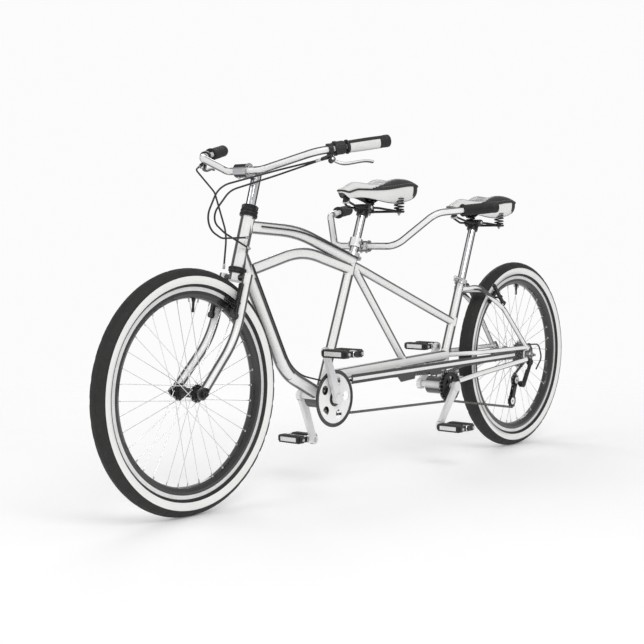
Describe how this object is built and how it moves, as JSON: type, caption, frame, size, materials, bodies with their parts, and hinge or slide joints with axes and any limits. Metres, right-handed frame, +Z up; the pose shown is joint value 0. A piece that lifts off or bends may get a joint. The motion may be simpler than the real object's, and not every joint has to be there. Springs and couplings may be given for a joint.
{
  "type": "tandem bicycle",
  "caption": "Cruiser tandem bicycle with a long arched tube frame, whitewall tyres, swept handlebars for both riders, sprung saddles, timing chain and chain guard.",
  "frame": {"origin": "on the ground in the centre plane, halfway between the two wheel axles", "axes": "+X forward, the way the bicycle rides; +Y to the riders' left; +Z up"},
  "size_m": [2.3, 0.657, 1.0228],
  "materials": {
    "enamel": "gloss",
    "bar_enamel": "gloss",
    "black_enamel": "gloss",
    "chrome": "polished",
    "steel": "satin",
    "alloy": "satin",
    "black_alloy": "satin",
    "black_steel": "satin",
    "chain_steel": "satin",
    "cable_black": "satin",
    "grip_rubber": "matte",
    "black_plastic": "matte",
    "tyre_rubber": "matte",
    "rim_black": "gloss",
    "pedal_rubber": "matte",
    "saddle_vinyl": "satin"
  },
  "bodies": {
    "frame": {"frame": "enamel", "headset_cups": "chrome", "cartridge_bearings": "steel", "eccentric_insert": "alloy", "bottom_bracket_cups": "steel", "chain_guard": "black_enamel", "seat_collars": "alloy", "timing_chain": "chain_steel", "drive_chain": "chain_steel", "rear_axle": "steel", "frame_cables": "cable_black", "derailleur_body": "black_alloy", "derailleur_cage": "black_alloy"},
    "fork": {"fork": "enamel", "headset_races": "chrome", "stem": "bar_enamel", "captain_handlebar": "bar_enamel", "captain_grips": "grip_rubber", "lever_perches": "black_plastic", "front_axle": "steel", "bar_cables": "cable_black"},
    "left_lever": {"left_brake_lever": "black_plastic"},
    "right_lever": {"right_brake_lever": "black_plastic"},
    "shifter": {"twist_shifter": "black_plastic"},
    "front_left_arm": {"front_left_brake_arm": "black_alloy"},
    "front_right_arm": {"front_right_brake_arm": "black_alloy"},
    "rear_left_arm": {"rear_left_brake_arm": "black_alloy"},
    "rear_right_arm": {"rear_right_brake_arm": "black_alloy"},
    "front_wheel": {"front_tyre": "tyre_rubber", "front_rim": "rim_black", "front_spokes": "steel", "front_hub": "alloy"},
    "rear_wheel": {"rear_tyre": "tyre_rubber", "rear_rim": "rim_black", "rear_spokes": "steel", "rear_hub": "alloy"},
    "freewheel": {"freewheel": "chain_steel"},
    "captain_crankset": {"captain_crank": "chrome", "captain_timing_ring": "black_alloy", "guard_disc": "bar_enamel", "captain_pedal_spindles": "steel"},
    "stoker_crankset": {"stoker_crank": "chrome", "stoker_timing_ring": "black_alloy", "drive_ring": "black_alloy", "stoker_pedal_spindles": "steel"},
    "captain_left_pedal": {"captain_left_pedal": "pedal_rubber"},
    "captain_right_pedal": {"captain_right_pedal": "pedal_rubber"},
    "stoker_left_pedal": {"stoker_left_pedal": "pedal_rubber"},
    "stoker_right_pedal": {"stoker_right_pedal": "pedal_rubber"},
    "upper_jockey": {"upper_jockey_wheel": "black_plastic"},
    "lower_jockey": {"lower_jockey_wheel": "black_plastic"},
    "captain_seat": {"captain_seatpost": "chrome", "captain_saddle_frame": "black_steel", "stoker_bar": "bar_enamel", "stoker_grips": "grip_rubber"},
    "captain_saddle": {"captain_saddle": "saddle_vinyl"},
    "stoker_seat": {"stoker_seatpost": "chrome", "stoker_saddle_frame": "black_steel"},
    "stoker_saddle": {"stoker_saddle": "saddle_vinyl"},
    "seat_lever": {"stoker_seat_lever": "alloy"}
  },
  "joints": [
    {"name": "steering", "type": "hinge", "parent": "frame", "child": "fork", "pos_m": [0.73585, 0, 0.30427], "axis": [-0.2924, 0, 0.9563], "range_deg": [-50, 50], "deforming": ["bar_cables"]},
    {"name": "front_wheel_spin", "type": "hinge", "parent": "fork", "child": "front_wheel", "pos_m": [0.82, 0, 0.33], "axis": [0, 1, 0], "continuous": true},
    {"name": "rear_wheel_spin", "type": "hinge", "parent": "frame", "child": "rear_wheel", "pos_m": [-0.82, 0, 0.33], "axis": [0, 1, 0], "continuous": true},
    {"name": "captain_crank_spin", "type": "hinge", "parent": "frame", "child": "captain_crankset", "pos_m": [0.275, 0, 0.27], "axis": [0, 1, 0], "continuous": true, "deforming": ["timing_chain", "drive_chain"]},
    {"name": "stoker_crank_spin", "type": "hinge", "parent": "frame", "child": "stoker_crankset", "pos_m": [-0.34712, 0, 0.255], "axis": [0, 1, 0], "continuous": true},
    {"name": "freewheel_spin", "type": "hinge", "parent": "frame", "child": "freewheel", "pos_m": [-0.82, 0, 0.33], "axis": [0, 1, 0], "continuous": true},
    {"name": "upper_jockey_spin", "type": "hinge", "parent": "frame", "child": "upper_jockey", "pos_m": [-0.772, 0, 0.24], "axis": [0, 1, 0], "continuous": true},
    {"name": "lower_jockey_spin", "type": "hinge", "parent": "frame", "child": "lower_jockey", "pos_m": [-0.746, 0, 0.168], "axis": [0, 1, 0], "continuous": true},
    {"name": "captain_left_pedal_spin", "type": "hinge", "parent": "captain_crankset", "child": "captain_left_pedal", "pos_m": [0.33194, 0, 0.41093], "axis": [0, 1, 0], "continuous": true},
    {"name": "captain_right_pedal_spin", "type": "hinge", "parent": "captain_crankset", "child": "captain_right_pedal", "pos_m": [0.21806, 0, 0.12907], "axis": [0, 1, 0], "continuous": true},
    {"name": "stoker_left_pedal_spin", "type": "hinge", "parent": "stoker_crankset", "child": "stoker_left_pedal", "pos_m": [-0.25354, 0, 0.13522], "axis": [0, 1, 0], "continuous": true},
    {"name": "stoker_right_pedal_spin", "type": "hinge", "parent": "stoker_crankset", "child": "stoker_right_pedal", "pos_m": [-0.4407, 0, 0.37478], "axis": [0, 1, 0], "continuous": true},
    {"name": "left_lever_pull", "type": "hinge", "parent": "fork", "child": "left_lever", "pos_m": [0.51605, 0.24221, 0.94892], "axis": [0.477, 0.8282, 0.2943], "range_deg": [0, 12], "stiffness_Nm_per_rad": 1, "springref_deg": -17.19},
    {"name": "right_lever_pull", "type": "hinge", "parent": "fork", "child": "right_lever", "pos_m": [0.51605, -0.24221, 0.94892], "axis": [-0.477, 0.8282, -0.2943], "range_deg": [0, 12], "stiffness_Nm_per_rad": 1, "springref_deg": -17.19},
    {"name": "shifter_twist", "type": "hinge", "parent": "fork", "child": "shifter", "pos_m": [0.4915, 0.2447, 0.98171], "axis": [-0.8789, 0.4487, 0.1619], "range_deg": [0, 90]},
    {"name": "front_left_arm_swing", "type": "hinge", "parent": "fork", "child": "front_left_arm", "pos_m": [0.68161, 0.045, 0.5282], "axis": [0.9563, 0, 0.2924], "range_deg": [0, 2.9]},
    {"name": "front_right_arm_swing", "type": "hinge", "parent": "fork", "child": "front_right_arm", "pos_m": [0.68161, -0.045, 0.5282], "axis": [-0.9563, 0, -0.2924], "range_deg": [0, 2.9]},
    {"name": "rear_left_arm_swing", "type": "hinge", "parent": "frame", "child": "rear_left_arm", "pos_m": [-0.65893, 0.0555, 0.51611], "axis": [0.72, 0, -0.694], "range_deg": [0, 2.9]},
    {"name": "rear_right_arm_swing", "type": "hinge", "parent": "frame", "child": "rear_right_arm", "pos_m": [-0.65893, -0.0555, 0.51611], "axis": [-0.72, 0, 0.694], "range_deg": [0, 2.9]},
    {"name": "captain_seat_height", "type": "slide", "parent": "frame", "child": "captain_seat", "axis": [-0.3529, 0, 0.9357], "range_m": [-0.012, 0.05], "stiffness_N_per_m": 60000},
    {"name": "stoker_seat_height", "type": "slide", "parent": "frame", "child": "stoker_seat", "axis": [-0.36, 0, 0.933], "range_m": [-0.05, 0.06], "stiffness_N_per_m": 60000},
    {"name": "captain_saddle_bounce", "type": "hinge", "parent": "captain_seat", "child": "captain_saddle", "pos_m": [0.14806, 0, 0.851], "axis": [0, -1, 0], "range_deg": [0, 3.5], "stiffness_Nm_per_rad": 1500, "deforming": ["captain_saddle_frame"]},
    {"name": "stoker_saddle_bounce", "type": "hinge", "parent": "stoker_seat", "child": "stoker_saddle", "pos_m": [-0.43601, 0, 0.815], "axis": [0, -1, 0], "range_deg": [0, 3.5], "stiffness_Nm_per_rad": 1500, "deforming": ["stoker_saddle_frame"]},
    {"name": "seat_lever_release", "type": "hinge", "parent": "frame", "child": "seat_lever", "pos_m": [-0.45426, 0.0155, 0.6049], "axis": [0, 0, 1], "range_deg": [0, 100]}
  ],
  "couplings": [
    {"joint": "stoker_crank_spin", "follows": "captain_crank_spin", "ratio": 1},
    {"joint": "freewheel_spin", "follows": "captain_crank_spin", "ratio": 1.5},
    {"joint": "upper_jockey_spin", "follows": "captain_crank_spin", "ratio": -2.1818},
    {"joint": "lower_jockey_spin", "follows": "captain_crank_spin", "ratio": 2.1818},
    {"joint": "front_left_arm_swing", "follows": "right_lever_pull", "ratio": 0.2416},
    {"joint": "front_right_arm_swing", "follows": "right_lever_pull", "ratio": 0.2416},
    {"joint": "rear_left_arm_swing", "follows": "left_lever_pull", "ratio": 0.2416},
    {"joint": "rear_right_arm_swing", "follows": "left_lever_pull", "ratio": 0.2416}
  ]
}
